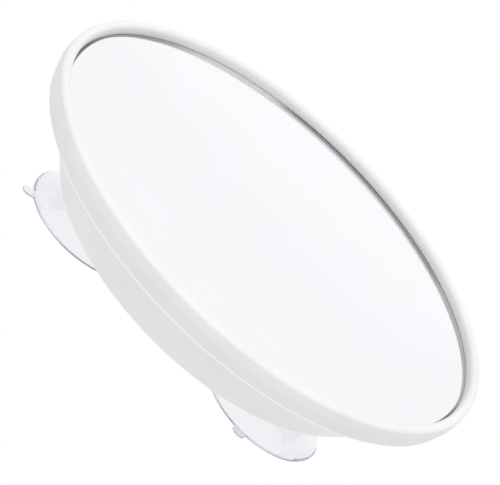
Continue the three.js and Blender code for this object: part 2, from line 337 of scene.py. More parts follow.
class Shading(NodeSheet):
    """A material's node tree, with what the finishes need again and again."""

    def __init__(self, name: str) -> None:
        """Makes an empty material.

        Args:
            name: The material's name.
        """
        self.material = bpy.data.materials.new(name)
        self.material.use_nodes = True
        super().__init__(self.material.node_tree)
        self.place = self.node("ShaderNodeTexCoord").outputs["Object"]

    def noise(self, size: float, detail: float = 2.0, roughness: float = 0.5) -> Signal:
        """A cloudy pattern fixed to the piece.

        Args:
            size: How wide its blotches are, in millimetres.
            detail: How many finer layers it has.
            roughness: How strong the finer layers are.

        Returns:
            The pattern, about 0 to 1.
        """
        return self.signal(
            "ShaderNodeTexNoise",
            vector=self.place,
            scale=1 / (size * MM),
            detail=detail,
            roughness=roughness,
        )

    def between(self, factor: Signal | float, first: Any, second: Any) -> bpy.types.NodeSocket:
        """A colour between two others.

        Args:
            factor: 0 for the first colour, 1 for the second.
            first: A colour or a colour output.
            second: A colour or a colour output.

        Returns:
            The mixed colour.
        """
        mixer = self.node("ShaderNodeMix", {"data_type": "RGBA", "clamp_factor": True})
        self.feed(mixer.inputs[0], factor)
        for socket, value in zip(mixer.inputs[6:8], (first, second)):
            self.feed(socket, with_alpha(value) if isinstance(value, tuple) else value)
        return mixer.outputs[2]

    def relief(self, height: Signal, depth: float) -> bpy.types.NodeSocket:
        """A surface that rises and falls.

        Args:
            height: The relief, 0 to 1.
            depth: How deep it is, in millimetres.

        Returns:
            The bent normal.
        """
        return self.node("ShaderNodeBump", height=height, distance=depth * MM, strength=1.0).outputs[0]

    def parts(self) -> tuple[Signal, Signal, Signal]:
        """The X, Y and Z of a point on the piece, in millimetres."""
        across, along, up = self.node("ShaderNodeSeparateXYZ", vector=self.place).outputs
        return Signal(self, across) / MM, Signal(self, along) / MM, Signal(self, up) / MM

    def from_axis(self) -> tuple[Signal, Signal]:
        """Where a point lies on a piece that is turned about the mirror's axis.

        Returns:
            Its distance from the axis and its Y, in millimetres.
        """
        across, along, up = self.parts()
        return (across * across + up * up) ** 0.5, along

    def stored(self, part: VinylPart) -> Signal:
        """The value that was stored on the mesh under that name."""
        return self.signal("ShaderNodeAttribute", {"attribute_name": part.value}, out="Fac")

    def surface(self, **sockets: Any) -> bpy.types.Node:
        """The usual surface shader, with values or links for its sockets."""
        return self.node("ShaderNodeBsdfPrincipled", **sockets)

    def mixed(self, share: Signal, first: bpy.types.Node, second: bpy.types.Node) -> bpy.types.Node:
        """A shader between two others, the second one where the share is 1."""
        return self.node("ShaderNodeMixShader", _0=share, _1=first.outputs[0], _2=second.outputs[0])

    def finish(self, surface: bpy.types.Node, volume: bpy.types.Node | None = None) -> bpy.types.Material:
        """Links the shader to the material's output.

        Args:
            surface: The surface shader.
            volume: The shader for the inside, where there is one.

        Returns:
            The material.
        """
        out = self.node("ShaderNodeOutputMaterial", surface=surface.outputs[0])
        if volume is not None:
            self.feed(out.inputs["Volume"], volume.outputs[0])
        return self.material


@dataclass(frozen=True)
class Band:
    """A ring round the mirror's axis where a plastic has another tone, in millimetres."""

    inside: float
    outside: float
    start: float
    fade: float
    colour: Colour
    inner_fade: float = 0.3
    outer_fade: float = 0.02

    def share(self, sheet: Shading) -> Signal:
        """How much of the band's tone a point has.

        Args:
            sheet: The material that has the band.

        Returns:
            The share, 0 to 1.
        """
        radius, along = sheet.from_axis()
        across = radius.step(self.inside, self.inside + self.inner_fade)
        across = across - radius.step(self.outside, self.outside + self.outer_fade)
        return across * along.step(self.start, self.start + self.fade)


@dataclass(frozen=True)
class MouldedPlastic:
    """White moulded plastic with a fine grain, slight waves and a trace of mottling."""

    name: str = "moulded_plastic"
    colour: Colour = srgb(229, 229, 228)
    cloudy_colour: Colour = srgb(226, 225, 224)
    clouds: float = 24.0
    cloud_step: Point = (0.35, 0.7)
    cloud_roughness: float = 0.06
    sheen_roughness: float = 0.34
    grain: float = 0.35
    grain_depth: float = 0.004
    grain_roughness: float = 0.05
    waves: float = 9.0
    wave_depth: float = 0.012
    refraction: float = 1.49
    bands: tuple[Band, ...] = ()

    def material(self) -> bpy.types.Material:
        """The finish as a material.

        Returns:
            The material.
        """
        sheet = Shading(self.name)
        clouds = sheet.noise(self.clouds, detail=3.0)
        grain = sheet.noise(self.grain, detail=1.0)
        waves = sheet.noise(self.waves, detail=0.0)
        colour = sheet.between(clouds.step(*self.cloud_step), self.colour, self.cloudy_colour)
        for band in self.bands:
            colour = sheet.between(band.share(sheet), colour, band.colour)
        depth = self.grain_depth + self.wave_depth
        height = (self.grain_depth / depth) * grain + (self.wave_depth / depth) * waves
        shader = sheet.surface(
            base_color=colour,
            roughness=self.sheen_roughness + self.cloud_roughness * clouds + self.grain_roughness * grain,
            ior=self.refraction,
            normal=sheet.relief(height, depth),
        )
        return sheet.finish(shader)


@dataclass(frozen=True)
class MirrorGlass:
    """Silvered glass with a few faint finger smears and a grey ring of painted shade round its edge.

    The ring stands in for the shade under the bezel's lip and its reflection, and is widest at the top.
    It is painted lighter towards both sides as a highlight, and has darker painted shadow under the
    lip at the top and low at the sides. Its places are in millimetres.
    """

    name: str = "mirror_glass"
    silver: Colour = srgb(245, 247, 249)
    cloudy_silver: Colour = srgb(246, 248, 251)
    clouds: float = 30.0
    cloud_step: Point = (0.4, 0.65)
    smears: float = 16.0
    smear_step: Point = (0.55, 0.8)
    smear_roughness: float = 0.02
    # Painted shade at the glass's edge, standing in for the shade under the lip and its reflection, with its
    # lighter, gap and side tones.
    edge_shade: Colour = srgb(139, 139, 138)
    lit_edge_shade: Colour = srgb(196, 196, 195)
    gap_shadow: Colour = srgb(106, 106, 104)
    side_shadow: Colour = srgb(90, 90, 89)
    edge_shade_roughness: float = 0.5
    edge_shade_start: float = 71.3
    edge_shade_end: float = 71.95
    edge_shade_fade: float = 0.1
    # Painted shadow low at both sides, where the ring of painted shade also widens.
    side: Point = (69.5, 74.0)
    side_drop: float = 0.25
    side_width: float = 0.25
    top_width: float = 1.1
    top_rise: float = 50.0
    # Painted shadow in the gap under the lip at the top.
    dark_start: float = 71.4
    dark_fade: float = 0.15
    dark_rise: float = 30.0
    dark_left: Point = (19.6, 28.0)
    dark_right: Point = (0.0, 40.0)
    # Where the painted edge shade is painted lighter, as a highlight: the upper left and the right.
    lit_left: Point = (22.0, 34.0)
    lit_left_end: Point = (50.0, 68.0)
    lit_right: Point = (40.0, 50.0)
    right_lit: float = 0.45

    def material(self) -> bpy.types.Material:
        """The finish as a material.

        Returns:
            The material.
        """
        sheet = Shading(self.name)
        radius, _ = sheet.from_axis()
        across, _, up = sheet.parts()
        left = -across
        low_side = (abs(across) - self.side_drop * up).step(*self.side)
        # The painted edge shade starts further in low at the sides and at the top.
        start = self.edge_shade_start - self.side_width * low_side
        start = start - self.top_width * up.step(0.0, self.top_rise)
        edge = (radius - start).step(-self.edge_shade_fade, self.edge_shade_fade)
        edge = edge * (1 - radius.step(self.edge_shade_end, self.edge_shade_end + self.edge_shade_fade))
        # Painted highlight: the edge shade is lighter towards the upper left and the right.
        lit = left.step(*self.lit_left) * (1 - left.step(*self.lit_left_end))
        lit = lit + self.right_lit * across.step(*self.lit_right)
        # Painted shadow in the gap under the lip, at the top only.
        dark = radius.step(self.dark_start, self.dark_start + self.dark_fade) * up.step(0.0, self.dark_rise)
        dark = dark * (1 - left.step(*self.dark_left)) * (1 - across.step(*self.dark_right))
        edge_shade = sheet.between(lit, self.edge_shade, self.lit_edge_shade)
        edge_shade = sheet.between(dark, edge_shade, self.gap_shadow)
        # Painted shadow low at both sides.
        edge_shade = sheet.between(low_side, edge_shade, self.side_shadow)
        clouds = sheet.noise(self.clouds).step(*self.cloud_step)
        coat = sheet.between(clouds, self.silver, self.cloudy_silver)
        smears = sheet.noise(self.smears, detail=4.0, roughness=0.6).step(*self.smear_step)
        shader = sheet.surface(
            base_color=sheet.between(edge, coat, edge_shade),
            metallic=1 - edge,
            roughness=self.edge_shade_roughness * edge + self.smear_roughness * smears,
        )
        return sheet.finish(shader)


@dataclass(frozen=True)
class ClearVinyl:
    """Soft clear vinyl: glassy where thick, a clear sheet where thin, with painted shade and edge lines."""

    name: str = "clear_vinyl"
    tint: Colour = srgb(251, 253, 251)
    depth_colour: Colour = (0.4, 0.46, 0.62)
    depth_density: float = 40.0
    refraction: float = 1.5
    gloss_roughness: float = 0.03
    cloud_roughness: float = 0.03
    clouds: float = 7.0
    ripples: float = 3.5
    ripple_depth: float = 0.02
    sheet_alpha: float = 0.18
    haze: float = 0.065
    # Tones of the painted dark edge line, which stands in for refraction at the lip and tab.
    edge_tones: tuple[Colour, ...] = ((0.3, 0.3, 0.31), (0.6, 0.61, 0.68), (0.31, 0.29, 0.6))
    edge_alpha: float = 0.92
    edge_roughness: float = 0.2
    mottle: float = 4.0
    mottle_strength: float = 0.2

    def material(self) -> bpy.types.Material:
        """The finish as a material.

        Returns:
            The material.
        """
        sheet = Shading(self.name)
        rough = self.gloss_roughness + self.cloud_roughness * sheet.noise(self.clouds)
        # shade is the painted shade stored on the cups, stronger on their lower side.
        thin, shade = sheet.stored(VinylPart.THIN), sheet.stored(VinylPart.SHADE)
        body = sheet.surface(
            base_color=with_alpha(self.tint),
            roughness=rough,
            ior=self.refraction,
            transmission_weight=1.0,
            alpha=1 - (1 - self.sheet_alpha * shade) * thin,
            normal=sheet.relief(sheet.noise(self.ripples, detail=1.0), self.ripple_depth),
        )
        tone = sheet.stored(VinylPart.TONE) + self.mottle_strength * (sheet.noise(self.mottle) - 0.5)
        grey, pale, violet = self.edge_tones
        colour = sheet.between(tone.step(0.5, 1.0), sheet.between(tone.step(0.0, 0.5), grey, pale), violet)
        edge = sheet.surface(base_color=colour, roughness=self.edge_roughness + rough, alpha=self.edge_alpha)
        # The edge shader paints the dark edge line, and a thin haze over the sheet where its painted shade
        # lies.
        share = sheet.stored(VinylPart.EDGE).larger(self.haze * thin * shade)
        inside = sheet.node(
            "ShaderNodeVolumeAbsorption",
            color=with_alpha(self.depth_colour),
            density=self.depth_density,
        )
        return sheet.finish(sheet.mixed(share, body, edge), inside)


@dataclass(frozen=True)
class ZincPlate:
    """Bright zinc plating with fine turning marks and dull patches."""

    name: str = "zinc_plate"
    bright: Colour = srgb(206, 208, 211)
    dull: Colour = srgb(178, 181, 186)
    patches: float = 1.2
    patch_step: Point = (0.4, 0.65)
    gloss_roughness: float = 0.22
    patch_roughness: float = 0.2
    marks: float = 0.12
    mark_depth: float = 0.004

    def material(self) -> bpy.types.Material:
        """The finish as a material.

        Returns:
            The material.
        """
        sheet = Shading(self.name)
        patches = sheet.noise(self.patches, detail=4.0)
        shader = sheet.surface(
            base_color=sheet.between(patches.step(*self.patch_step), self.bright, self.dull),
            metallic=1.0,
            roughness=self.gloss_roughness + self.patch_roughness * patches,
            normal=sheet.relief(sheet.noise(self.marks, detail=1.0), self.mark_depth),
        )
        return sheet.finish(shader)


@dataclass(frozen=True)
class FoamTape:
    """Closed-cell foam tape, pitted all over."""

    name: str = "foam_tape"
    colour: Colour = srgb(218, 217, 211)
    pit_colour: Colour = srgb(186, 185, 178)
    cell: float = 0.45
    pit_step: Point = (0.1, 0.6)
    pit_depth: float = 0.15
    roughness: float = 0.95

    def material(self) -> bpy.types.Material:
        """The finish as a material.

        Returns:
            The material.
        """
        sheet = Shading(self.name)
        scale = 1 / (self.cell * MM)
        cells = sheet.signal("ShaderNodeTexVoronoi", vector=sheet.place, scale=scale, out="Distance")
        shader = sheet.surface(
            base_color=sheet.between(cells.step(*self.pit_step), self.pit_colour, self.colour),
            roughness=self.roughness,
            normal=sheet.relief(cells, self.pit_depth),
        )
        return sheet.finish(shader)


@dataclass(frozen=True)
class BackingFilm:
    """Thin grey safety film with shallow wrinkles."""

    name: str = "backing_film"
    colour: Colour = srgb(140, 145, 150)
    worn_colour: Colour = srgb(152, 156, 160)
    wrinkles: float = 6.0
    wrinkle_step: Point = (0.4, 0.7)
    wrinkle_depth: float = 0.06
    flat_roughness: float = 0.45
    wrinkle_roughness: float = 0.2

    def material(self) -> bpy.types.Material:
        """The finish as a material.

        Returns:
            The material.
        """
        sheet = Shading(self.name)
        wrinkles = sheet.noise(self.wrinkles, detail=5.0, roughness=0.6)
        shader = sheet.surface(
            base_color=sheet.between(wrinkles.step(*self.wrinkle_step), self.colour, self.worn_colour),
            roughness=self.flat_roughness + self.wrinkle_roughness * wrinkles,
            normal=sheet.relief(wrinkles, self.wrinkle_depth),
        )
        return sheet.finish(shader)


@dataclass(frozen=True)
class Stack:
    """Depths, radii and counts that the pieces of the head share, in millimetres.

    Depth counts from the bezel's front plane towards the wall.
    """

    glass_radius: float = 73.0
    glass_thickness: float = 2.0
    mirror_curve: float = 320.0
    seat_gap: float = 0.3
    lip_depth: float = 2.9
    bezel_depth: float = 7.685
    back_depth: float = 25.538
    flange_radius: float = 72.9
    waist_radius: float = 71.0
    flat_radius: float = 54.9
    corner_radius: float = 5.5
    shell_wall: float = 2.2
    cup_circle: float = 39.5
    screw_circle: float = 36.0
    count: int = 3
    steps_round: int = 288

    @property
    def glass_edge_depth(self) -> float:
        """Depth of the glass's face at its rim."""
        return self.lip_depth + self.seat_gap

    @property
    def front(self) -> float:
        """The Y of the bezel's front plane."""
        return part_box("front_bezel")[0].y / MM

    def placed(self, outline: list[Point]) -> list[Point]:
        """The outline with each depth turned into its Y."""
        return [(radius, self.front + depth) for radius, depth in outline]

    def sagitta(self, curve: float, radius: float) -> float:
        """How far a sphere of that curve falls away at that radius."""
        return curve - math.sqrt(curve**2 - radius**2)

    def behind_mirror(self, offset: float, radius: float) -> float:
        """Depth of the surface that follows the mirror's face.

        Args:
            offset: How far behind the face it lies.
            radius: Distance from the axis.

        Returns:
            The depth.
        """
        vertex = self.glass_edge_depth + self.sagitta(self.mirror_curve, self.glass_radius)
        return vertex + offset - self.sagitta(self.mirror_curve + offset, radius)


def arc(centre: Point, across: float, along: float, start: float, end: float, steps: int) -> list[Point]:
    """Points along a part of an ellipse.

    Args:
        centre: Its middle.
        across: Its half width along the radius.
        along: Its half width along the axis.
        start: The first angle, in degrees.
        end: The last angle, in degrees.
        steps: How many chords it has.

    Returns:
        The points.
    """
    angles = (math.radians(start + (end - start) * i / steps) for i in range(steps + 1))
    return [(centre[0] + across * math.cos(a), centre[1] + along * math.sin(a)) for a in angles]


def rounded(corners: list[tuple[float, ...]], steps: int = 5) -> list[Point]:
    """Gives the corners of an outline their radii.

    Args:
        corners: Radius, depth and, where the corner is rounded, its fillet.
        steps: How many chords a fillet has.

    Returns:
        The outline's points.
    """
    outline: list[Point] = []
    count = len(corners)
    for i, corner in enumerate(corners):
        here = Vector(corner[:2])
        if len(corner) < 3:
            outline.append(tuple(here))
            continue
        before = (Vector(corners[i - 1][:2]) - here).normalized()
        after = (Vector(corners[(i + 1) % count][:2]) - here).normalized()
        half = before.angle(after) / 2
        reach = corner[2] / math.tan(half)
        middle = here + (before + after).normalized() * (corner[2] / math.sin(half))
        first, last = here + before * reach - middle, here + after * reach - middle
        turn = first.angle_signed(last)
        for j in range(steps + 1):
            spoke = first.copy()
            spoke.rotate(Matrix.Rotation(-turn * j / steps, 2))
            outline.append(tuple(middle + spoke))
    return outline


def bezier(points: list[Point], steps: int) -> list[Point]:
    """Points along a cubic curve.

    Args:
        points: Its four control points.
        steps: How many chords it has.

    Returns:
        The points.
    """

    def at(share: float) -> Point:
        """The point at that share of the curve."""
        weights = ((1 - share) ** 3, 3 * (1 - share) ** 2 * share, 3 * (1 - share) * share**2, share**3)
        return tuple(sum(w * p[axis] for w, p in zip(weights, points)) for axis in (0, 1))

    return [at(i / steps) for i in range(steps + 1)]


def on_circle(radius: float, degrees: float) -> Vector:
    """A place on a circle about the axis.

    Args:
        radius: The circle's radius.
        degrees: The direction, clockwise from straight up as seen from the front.

    Returns:
        The place, with no depth.
    """
    angle = math.radians(degrees)
    return Vector((radius * math.sin(angle), 0.0, radius * math.cos(angle)))


def in_scene(name: str, data: bpy.types.ID) -> bpy.types.Object:
    """Puts a new object in the scene.

    Args:
        name: Its name.
        data: Its mesh, lamp or camera.

    Returns:
        The object.
    """
    thing = bpy.data.objects.new(name, data)
    bpy.context.scene.collection.objects.link(thing)
    return thing


def made_plain(piece: bpy.types.Object) -> bpy.types.Object:
    """Turns a piece's modifiers into its mesh.

    Args:
        piece: The piece.

    Returns:
        The same piece, with no modifier.
    """
    graph = bpy.context.evaluated_depsgraph_get()
    mesh = bpy.data.meshes.new_from_object(piece.evaluated_get(graph))
    piece.modifiers.clear()
    piece.data = mesh
    mesh.name = piece.name
    return piece


def smooth(mesh: bpy.types.Mesh, angle: float = 32.0) -> None:
    """Shades a mesh smooth up to an angle.

    Args:
        mesh: The mesh.
        angle: The sharpest smooth edge, in degrees.
    """
    mesh.shade_smooth()
    mesh.set_sharp_from_angle(angle=math.radians(angle))


def close_up(mesh: bpy.types.Mesh) -> None:
    """Merges doubles, turns every face outwards and smooths all but the sharp edges.

    Args:
        mesh: A closed mesh.
    """
    work = bmesh.new()
    work.from_mesh(mesh)
    bmesh.ops.remove_doubles(work, verts=work.verts, dist=WELD)
    bmesh.ops.recalc_face_normals(work, faces=work.faces)
    if work.calc_volume(signed=True) < 0:
        bmesh.ops.reverse_faces(work, faces=work.faces)
    work.to_mesh(mesh)
    work.free()
    smooth(mesh)


def from_bmesh(name: str, work: bmesh.types.BMesh, finish: bpy.types.Material) -> bpy.types.Object:
    """Keeps a mesh that was made by hand as an object in the scene.

    Args:
        name: The object's name.
        work: The mesh, which is used up.
        finish: Its material.

    Returns:
        The object.
    """
    mesh = bpy.data.meshes.new(name)
    work.to_mesh(mesh)
    work.free()
    mesh.materials.append(finish)
    return in_scene(name, mesh)


def carve(piece: bpy.types.Object, tool: bpy.types.Object, cut: Cut) -> None:
    """Joins a solid to a piece, or cuts it out, and throws the tool away.

    Args:
        piece: The piece that stays.
        tool: The solid that is used up.
        cut: Whether it adds or takes away.
    """
    modifier = piece.modifiers.new("cut", "BOOLEAN")
    modifier.operation = cut.value
    modifier.solver = "MANIFOLD"
    modifier.object = tool
    made_plain(piece)
    bpy.data.objects.remove(tool)


def moved(piece: bpy.types.Object, place: Vector, degrees: float = 0.0) -> bpy.types.Object:
    """Turns a mesh about Y and moves it, and leaves its object at the origin.

    Args:
        piece: The piece.
        place: Where it goes, in millimetres.
        degrees: Its turn, clockwise from straight up as seen from the front.

    Returns:
        The piece.
    """
    turn = Matrix.Rotation(math.radians(degrees), 4, "Y")
    piece.data.transform(Matrix.Translation(place * MM) @ turn)
    return piece


def hand_over(piece: bpy.types.Object, body: str, slot: str, *nodes: str) -> None:
    """Lets a piece ride on its body in place of its CAD nodes.

    Args:
        piece: The finished piece.
        body: The body that carries it.
        slot: Not used.
        nodes: The CAD nodes that it stands for.
    """
    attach(piece, body)
    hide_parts(*nodes)
    log.info("%s rides on %s with %d faces", piece.name, body, len(piece.data.polygons))


class ShapingTree(NodeSheet):
    """A Geometry Nodes tree with named inputs, whose result gets one finish."""

    def __init__(self, name: str, inputs: dict[str, str]) -> None:
        """Makes the tree and its sockets.

        Args:
            name: The tree's name.
            inputs: The type of each input by its name, the mesh first. The finish comes after them.
        """
        tree = bpy.data.node_groups.new(name, "GeometryNodeTree")
        super().__init__(tree)
        self.identifiers = {}
        for label, kind in {**inputs, "Finish": "Material"}.items():
            made = tree.interface.new_socket(name=label, in_out="INPUT", socket_type=f"NodeSocket{kind}")
            self.identifiers[label] = made.identifier
        tree.interface.new_socket(name="Result", in_out="OUTPUT", socket_type="NodeSocketGeometry")
        self.given = self.node("NodeGroupInput").outputs

    def end(self, shape: bpy.types.NodeSocket) -> None:
        """Makes the shape plain, gives it the finish and sends it out.

        Args:
            shape: The tree's last geometry.
        """
        plain = self.node("GeometryNodeRealizeInstances", geometry=shape)
        dressed = self.node(
            "GeometryNodeSetMaterial", geometry=plain.outputs[0], material=self.given["Finish"]
        )
        self.node("NodeGroupOutput", result=dressed.outputs[0])

    def run(self, name: str, mesh: bpy.types.Mesh, values: dict[str, Any]) -> bpy.types.Object:
        """Runs a mesh through the tree and keeps the plain result.

        Args:
            name: The new piece's name.
            mesh: What goes in.
            values: The other inputs, by name.

        Returns:
            An object with the result and no modifier.
        """
        piece = in_scene(name, mesh)
        modifier = piece.modifiers.new("tree", "NODES")
        modifier.node_group = self.tree
        for label, value in values.items():
            modifier[self.identifiers[label]] = value
        return made_plain(piece)


class Lathe(ShapingTree):
    """Turns an outline about the Y axis."""

    def __init__(self) -> None:
        """Builds the tree."""
        super().__init__(
            "turned_outline", {"Outline": "Geometry", "Guide Radius": "Float", "Steps Round": "Int"}
        )
        outline = self.node("GeometryNodeMeshToCurve", mesh=self.given["Outline"])
        guide = self.node(
            "GeometryNodeCurvePrimitiveCircle",
            radius=self.given["Guide Radius"],
            resolution=self.given["Steps Round"],
        )
        level = self.node("GeometryNodeSetCurveNormal", {"mode": "Z_UP"}, curve=guide.outputs["Curve"])
        swept = self.node("GeometryNodeCurveToMesh", curve=level.outputs[0], profile_curve=outline.outputs[0])
        welded = self.node("GeometryNodeMergeByDistance", geometry=swept.outputs[0], distance=WELD)
        upright = self.node(
            "GeometryNodeTransform", geometry=welded.outputs[0], rotation=(math.radians(90), 0.0, 0.0)
        )
        self.end(upright.outputs[0])

    def turn(
        self,
        name: str,
        outline: list[Point],
        ending: Ending,
        finish: bpy.types.Material,
        steps: int,
    ) -> bpy.types.Object:
        """Turns an outline into a closed piece.

        Args:
            name: The piece's name.
            outline: Radius and Y of each point, in millimetres.
            ending: Whether the outline is a loop or stops on the axis.
            finish: Its material.
            steps: How many steps it has round the axis.

        Returns:
            The piece.
        """
        guide = max(radius for radius, _ in outline) * MM
        points = [(radius * MM - guide, along * MM, 0.0) for radius, along in outline]
        edges = [(i, i + 1) for i in range(len(points) - 1)]
        if ending is Ending.LOOP:
            edges.append((len(points) - 1, 0))
        wire = bpy.data.meshes.new(f"{name}_outline")
        wire.from_pydata(points, edges, [])
        piece = self.run(name, wire, {"Guide Radius": guide, "Steps Round": steps, "Finish": finish})
        close_up(piece.data)
        return piece


class ScrewRing(ShapingTree):
    """Sets copies of a screw on a circle about the Y axis."""

    def __init__(self) -> None:
        """Builds the tree."""
        super().__init__(
            "screws_on_circle",
            {"Screw": "Geometry", "Count": "Int", "Circle Radius": "Float", "First Angle": "Float"},
        )
        count, radius, first = (
            Signal(self, self.given[label]) for label in ("Count", "Circle Radius", "First Angle")
        )
        angle = self.signal("GeometryNodeInputIndex") * math.tau / count + first
        place = self.node("ShaderNodeCombineXYZ", x=radius * angle.sine(), z=radius * angle.cosine())
        facing = self.node("ShaderNodeCombineXYZ", y=angle)
        points = self.node("GeometryNodePoints", count=count, position=place.outputs[0])
        set_out = self.node(
            "GeometryNodeInstanceOnPoints",
            points=points.outputs[0],
            instance=self.given["Screw"],
            rotation=facing.outputs[0],
        )
        self.end(set_out.outputs[0])


@dataclass
class FrontBezel:
    """The white ring that rolls over the edge of the glass and snaps behind the shell's flange."""

    stack: Stack
    lathe: Lathe
    opening_radius: float = 71.9
    nose_radius: float = 73.2
    frame_radius: float = 75.0
    pocket_radius: float = 73.3
    inner_roll: float = 1.5
    crown_start: float = 73.6
    crown_end: float = 74.8
    crown_drop: float = 0.52
    crown_rounds: Point = (1.5, 1.1)
    draft_depth: float = 3.2
    wall_round: float = 4.0
    seal_gap: float = 0.12
    seal_round: float = 0.08
    taper_start: float = 3.985
    skirt_edge_radius: float = 74.2
    edge_run: float = 0.3
    edge_round: float = 0.8
    bead_radius: float = 72.2
    bead_width: float = 0.6
    snap_lead: float = 0.3
    snap_round: float = 0.1
    pocket_rounds: Point = (0.15, 0.2)
    # Painted shade on the deeper part of the opening's roll: its colour, margin, start and fade.
    shade: Colour = srgb(216, 216, 215)
    shade_margin: float = 0.05
    shade_start: float = 1.8
    shade_fade: float = 1.6
    # Painted highlight along the rounded back edge, which shows as a light seam line.
    seam_highlight: Colour = srgb(247, 247, 244)
    seam_highlight_margin: float = 1.0
    seam_highlight_fade: float = 0.2

    def outline(self) -> list[Point]:
        """The ring's section, by radius and depth.

        Returns:
            The closed outline.
        """
        end = self.stack.bezel_depth
        bead = end - self.bead_width
        seal_radii = (self.stack.glass_radius - self.seal_gap, self.opening_radius)
        outer_seal, inner_seal = ((r, self.stack.behind_mirror(0.0, r) - self.seal_gap) for r in seal_radii)
        outside = rounded(
            [
                (self.nose_radius, 0.0),
                (self.crown_start, 0.0, self.crown_rounds[0]),
                (self.crown_end, self.crown_drop, self.crown_rounds[1]),
                (self.frame_radius, self.draft_depth, self.wall_round),
                (self.frame_radius, self.taper_start, self.wall_round),
                (self.skirt_edge_radius, end - self.edge_round - self.edge_run),
                (self.skirt_edge_radius, end, self.edge_round),
                (self.bead_radius + self.snap_lead, end, self.snap_round),
                (self.bead_radius, end - self.snap_lead, self.snap_round),
                (self.bead_radius, bead),
                (self.pocket_radius, bead, self.pocket_rounds[0]),
                (self.pocket_radius, outer_seal[1], self.pocket_rounds[1]),
                outer_seal,
                (*inner_seal, self.seal_round),
                (self.opening_radius, self.inner_roll),
            ],
            steps=6,
        )
        roll_width = self.nose_radius - self.opening_radius
        inner = arc((self.nose_radius, self.inner_roll), roll_width, self.inner_roll, 180, 270, steps=20)
        return inner[1:-1] + outside

    def finish(self) -> bpy.types.Material:
        """The bezel's plastic, with painted shade in the opening and a painted highlight on the back edge.

        Returns:
            The material.
        """
        front = self.stack.front
        # Painted shade inside the opening.
        shaded = Band(
            inside=0.0,
            outside=self.opening_radius + self.shade_margin,
            start=front + self.shade_start,
            fade=self.shade_fade,
            colour=self.shade,
        )
        # Painted highlight along the back edge.
        seam_highlight_band = Band(
            inside=self.skirt_edge_radius - self.edge_round,
            outside=self.frame_radius + self.seam_highlight_margin,
            start=front + self.stack.bezel_depth - self.edge_round,
            fade=self.seam_highlight_fade,
            colour=self.seam_highlight,
        )
        return MouldedPlastic(name="bezel_plastic", bands=(shaded, seam_highlight_band)).material()

    def build(self) -> None:
        """Makes the bezel."""
        outline = self.stack.placed(self.outline())
        piece = self.lathe.turn("bezel_ring", outline, Ending.LOOP, self.finish(), self.stack.steps_round)
        hand_over(piece, "head", "white_plastic", "front_bezel")


@dataclass
class ConcaveMirror:
    """The concave glass."""

    stack: Stack
    lathe: Lathe
    bevel: float = 0.4
    rings: int = 40

    def outline(self) -> list[Point]:
        """The section of the glass, by radius and depth.

        Returns:
            The outline, from the middle of the face to the middle of the back.
        """
        stack = self.stack
        reach = stack.glass_radius - self.bevel
        shares = [math.sin(math.pi / 2 * i / self.rings) for i in range(self.rings + 1)]
        face = [(reach * share, stack.behind_mirror(0, reach * share)) for share in shares]
        back = [(radius, stack.behind_mirror(stack.glass_thickness, radius)) for radius, _ in face]
        edge_back = stack.behind_mirror(stack.glass_thickness, stack.glass_radius)
        edge = [(stack.glass_radius, stack.glass_edge_depth + self.bevel), (stack.glass_radius, edge_back)]
        return face + edge + back[::-1]

    def build(self) -> None:
        """Makes the glass."""
        outline, finish = self.stack.placed(self.outline()), MirrorGlass().material()
        piece = self.lathe.turn("concave_mirror", outline, Ending.ON_AXIS, finish, self.stack.steps_round)
        hand_over(piece, "head", "mirror_glass", "mirror_glass")


